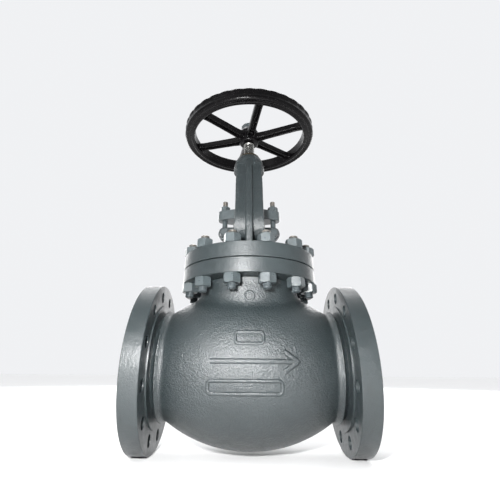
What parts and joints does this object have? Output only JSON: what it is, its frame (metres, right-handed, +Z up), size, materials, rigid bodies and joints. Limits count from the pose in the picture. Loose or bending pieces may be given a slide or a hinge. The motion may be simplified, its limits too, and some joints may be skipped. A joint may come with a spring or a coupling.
{
  "type": "globe valve",
  "caption": "Bolted-bonnet flanged globe valve with outside screw and yoke, rising stem, gland bolting and spoked handwheel.",
  "frame": {"origin": "on the ground plane under the stem: centre of the bounding box's bottom, half a flange diameter below the pipe axis", "axes": "+X along the pipe in the flow direction, towards the outlet flange; +Z up along the stem; +Y to the back"},
  "size_m": [0.4444, 0.35, 0.7788],
  "materials": {
    "painted_casting": "satin blue-grey paint over a rough steel casting",
    "painted_bolting": "satin blue-grey paint over hexagon nuts",
    "stud_steel": "alloy steel studs, painted with worn tips",
    "stem_steel": "turned and polished stainless steel",
    "trim_steel": "machined stainless steel",
    "bushing_bronze": "dull bronze under a thin overspray of the grey paint",
    "graphite": "pressed flexible graphite",
    "gasket": "spiral wound steel and graphite",
    "wheel_black": "gloss black enamel over malleable iron"
  },
  "bodies": {
    "valve_body": {"body": "painted_casting", "seat_ring": "trim_steel", "bonnet_yoke": "painted_casting", "bonnet_gasket": "gasket", "backseat_bushing": "trim_steel", "bonnet_studs": "stud_steel", "bonnet_nuts_upper": "painted_bolting", "bonnet_nuts_lower": "painted_bolting", "packing_washer": "trim_steel", "packing_rings": "graphite", "gland_eyebolt_left": "stud_steel", "gland_eyebolt_right": "stud_steel", "eyebolt_pin_left": "stud_steel", "eyebolt_pin_right": "stud_steel", "eyebolt_pin_cotters": "trim_steel", "yoke_bushing": "bushing_bronze", "bushing_set_screw": "stud_steel"},
    "plug": {"disc": "trim_steel", "disc_nut": "trim_steel", "disc_thrust_washer": "trim_steel", "disc_nut_lock_screw": "trim_steel"},
    "spindle": {"stem": "stem_steel", "handwheel": "wheel_black", "handwheel_key": "trim_steel", "handwheel_washer": "trim_steel", "handwheel_nut": "painted_bolting"},
    "gland": {"gland_follower": "trim_steel", "gland_flange": "painted_bolting"},
    "left_gland_nut": {"gland_nut_left": "painted_bolting"},
    "right_gland_nut": {"gland_nut_right": "painted_bolting"}
  },
  "joints": [
    {"name": "disc_lift", "type": "slide", "parent": "valve_body", "child": "plug", "axis": [0, 0, 1], "range_m": [0, 0.044]},
    {"name": "stem_turn", "type": "hinge", "parent": "plug", "child": "spindle", "pos_m": [0, 0, 0.71875], "axis": [0, 0, 1], "range_deg": [0, 2494.49]},
    {"name": "gland_lift", "type": "slide", "parent": "valve_body", "child": "gland", "axis": [0, 0, 1], "range_m": [0, 0.01]},
    {"name": "left_gland_nut_turn", "type": "hinge", "parent": "gland", "child": "left_gland_nut", "pos_m": [-0.0595, 0, 0.51275], "axis": [0, 0, 1], "range_deg": [0, 1842.52]},
    {"name": "right_gland_nut_turn", "type": "hinge", "parent": "gland", "child": "right_gland_nut", "pos_m": [0.0595, 0, 0.51275], "axis": [0, 0, 1], "range_deg": [0, 1842.52]}
  ],
  "couplings": [
    {"joint": "disc_lift", "follows": "stem_turn", "m_per_rad": 0.0010106},
    {"joint": "left_gland_nut_turn", "follows": "gland_lift", "rad_per_m": 3215.8},
    {"joint": "right_gland_nut_turn", "follows": "gland_lift", "rad_per_m": 3215.8}
  ]
}
